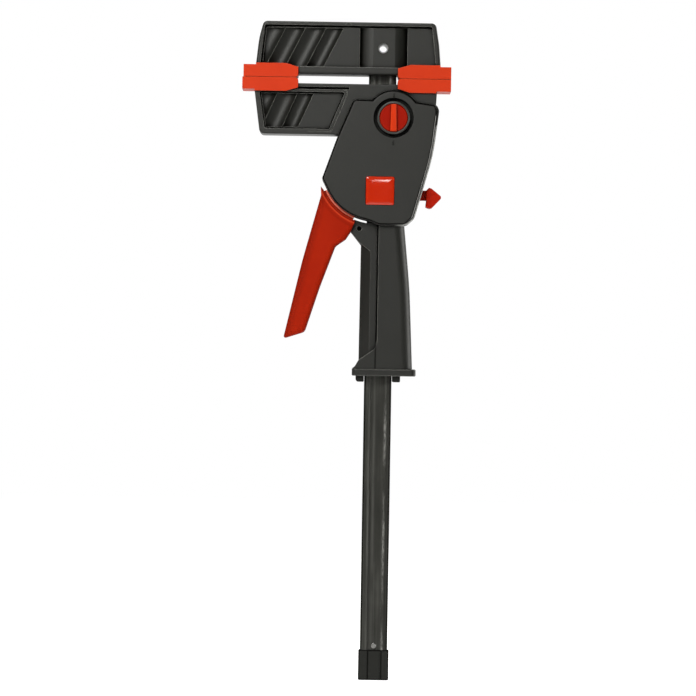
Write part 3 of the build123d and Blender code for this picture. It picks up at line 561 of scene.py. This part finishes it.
print("stage: inlay")
inlayShape = {"centre": (-0.7, -96.3), "side": 19.0, "corner": 1.0, "cornerSegments": 5, "back": -19.05,
              "face": -20.05, "rise": 0.45, "soft": 0.12,
              "steps": ((0.93, 0.5), (0.85, 0.28), (0.7, 0.15), (0.5, 0.07))}  # narrowing, part of the rise
half = inlayShape["side"] / 2
cx, cz = inlayShape["centre"]
inlay = addBlock("inlayDome", (cx - half, inlayShape["face"], cz - half),
                 (cx + half, inlayShape["back"], cz + half))
faceCentre = (cx * mm, inlayShape["face"] * mm, cz * mm)
pick(inlay, "EDGE", alongY)
bpy.ops.mesh.bevel(offset=inlayShape["corner"] * mm, segments=inlayShape["cornerSegments"])
bpy.ops.object.mode_set(mode="OBJECT")
for share, lift in inlayShape["steps"]:
    pick(inlay, "FACE", foremost)
    forward = (0, -lift * inlayShape["rise"] * mm, 0)
    bpy.ops.mesh.extrude_region_move(TRANSFORM_OT_translate={"value": forward})
    bpy.ops.transform.resize(value=(share, 1, share), center_override=faceCentre)
    bpy.ops.object.mode_set(mode="OBJECT")
softenEdges(inlay, inlayShape["soft"])
finishPiece(inlay, "handle", inlayRed)
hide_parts("badge_plate")

print("stage: spring copies")
for joint in frame["record"]["behaviour"]["joints"]:
    for row in joint.get("deforming_nodes", []):
        springName, stillZ = row["node"], row["fixed_end_z_m"]
        low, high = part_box(springName)
        movingZ = max(low.z, high.z, key=lambda z: abs(z - stillZ))
        middle = (low + high) / 2
        choose(frame["nodes"][springName])
        bpy.ops.object.duplicate()
        coil = bpy.context.object
        del coil["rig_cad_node"]
        bpy.ops.object.parent_clear(type="CLEAR_KEEP_TRANSFORM")
        first, *rest = springName.split("_")
        coil.name = first + "".join(word.capitalize() for word in rest)
        finishPiece(coil, joint["parent"], wireSteel,
                    {"towards": joint["child"], "still": (middle.x, middle.y, stillZ),
                     "moving": (middle.x, middle.y, movingZ)})
        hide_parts(springName)

print("stage: index ticks")
tickShape = {"x": 7.7, "width": 1.1, "heights": (-32.2, -63.9), "length": 3.4, "rise": 0.35, "face": -20.0,
             "sunk": 0.3, "soft": 0.15}
halfWidth, halfLength = tickShape["width"] / 2, tickShape["length"] / 2
for number, height in enumerate(tickShape["heights"]):
    tick = addBlock(f"indexTick{number}",
                    (tickShape["x"] - halfWidth, tickShape["face"] - tickShape["rise"], height - halfLength),
                    (tickShape["x"] + halfWidth, tickShape["face"] + tickShape["sunk"], height + halfLength))
    softenEdges(tick, tickShape["soft"])
    finishPiece(tick, "handle", capBlack)

print("stage: floor and light")
floorShape = {"radius": 4.0, "sides": 128, "gap": 0.0002, "colour": (0.86, 0.86, 0.85), "speckle": (6.0, 2.0),
              "darker": 0.97, "roughness": 0.9, "glow": 0.87, "darkTo": -0.25, "paleFrom": 0.15}
clearSelection()
bpy.ops.mesh.primitive_circle_add(vertices=floorShape["sides"], radius=floorShape["radius"], fill_type="NGON",
                                  location=(0, 0, cadBox[0][2] - floorShape["gap"]))
floor = bpy.context.object
floor.name = "floor"
floorLook = Look("pale floor")
floorSeen = floorLook.node("ShaderNodeLightPath", {}, {}, "Is Camera Ray")
inGloss = floorLook.node("ShaderNodeLightPath", {}, {}, "Is Glossy Ray")
# the floor before the clamp stays out of its gloss
behind = floorLook.spread(floorLook.axis("Y"), floorShape["darkTo"], floorShape["paleFrom"])
speckle = floorLook.noise(*floorShape["speckle"])
darker = [c * floorShape["darker"] for c in floorShape["colour"]]
floorLook.set(Base_Color=floorLook.mix(speckle, floorShape["colour"], darker),
              Emission_Color=floorLook.mix(floorSeen + inGloss * behind, (0, 0, 0), (1, 1, 1)),
              Roughness=floorShape["roughness"], Emission_Strength=floorShape["glow"])
floor.data.materials.append(floorLook.material)

studio = {"seen": 1.0, "lighting": 0.14, "leftDark": (-0.75, -0.15),
          "sides": ((0.0, 0.0), (0.36, 0.0), (0.44, 0.45), (0.60, 0.45), (0.70, 0.0), (1.0, 0.0))}
world = bpy.data.worlds.new("studio")
bpy.context.scene.world = world
world.use_nodes = True


class WorldLook(Look):  # the same node tools, on the world
    def __init__(self):
        self.tree = world.node_tree
        self.shader = self.tree.nodes["Background"]


sky = WorldLook()
straight, through, mirrored = (sky.node("ShaderNodeLightPath", {}, {}, f"Is {kind} Ray")
                               for kind in ("Camera", "Transmission", "Glossy"))
direction = sky.node("ShaderNodeTexCoord", {}, {}, "Generated")
towardsX, towardsY = (sky.part(axis, direction) for axis in "XY")
sweep = sky.ramp(sky.spread(towardsY, -1, 1), studio["sides"]) * sky.spread(towardsX, *studio["leftDark"])
plainlySeen = sky.largest(straight, through)
strength = plainlySeen * studio["seen"] + mirrored * sweep
strength = strength + (1 - plainlySeen - mirrored) * studio["lighting"]
sky.set(Color=(1, 1, 1), Strength=strength)

lamps = {"key": {"place": (-0.40, -1.02, 0.42), "size": (0.60, 0.45), "power": 10.4},
         "right": {"place": (1.9, 0.25, 0.1), "size": (0.9, 0.9), "power": 16},
         "top": {"place": (-0.2, -0.15, 1.6), "size": (0.9, 0.9), "power": 15},
         "back": {"place": (0.8, 1.8, 0.6), "size": (1.2, 1.2), "power": 12},
         "left": {"place": (-1.8, 0.1, 0.0), "size": (1.0, 1.0), "power": 2},
         "strip": {"place": (0.165, -2.5, 0.24), "size": (0.30, 0.12), "power": 1.7}}
lampColour = (1.0, 0.995, 0.955)
aim = Vector((-0.02, 0, -0.2))
for lampName, lamp in lamps.items():
    light = bpy.data.lights.new(lampName, "AREA")
    light.shape = "RECTANGLE"
    light.size, light.size_y = lamp["size"]
    light.energy = lamp["power"]
    light.color = lampColour
    holder = bpy.data.objects.new(lampName, light)
    holder.visible_camera = False
    bpy.context.scene.collection.objects.link(holder)
    holder.location = lamp["place"]
    holder.rotation_euler = (aim - holder.location).to_track_quat("-Z", "Y").to_euler()

view = {"aim": (-20.49, -6.0, -202.34), "distance": 3400.0, "width": 469.8, "roll": -0.93, "sensor": 36.0,
        "farthest": 50}
camera = bpy.data.cameras.new("camera")
camera.sensor_width = view["sensor"]
camera.lens = view["sensor"] * view["distance"] / view["width"]
camera.clip_end = view["farthest"]
cameraObject = bpy.data.objects.new("camera", camera)
bpy.context.scene.collection.objects.link(cameraObject)
x, y, z = view["aim"]
cameraObject.location = (x * mm, (y - view["distance"]) * mm, z * mm)
cameraObject.rotation_euler = (math.radians(90), math.radians(view["roll"]), 0)
bpy.context.scene.camera = cameraObject
bpy.context.scene.view_settings.view_transform = "Standard"
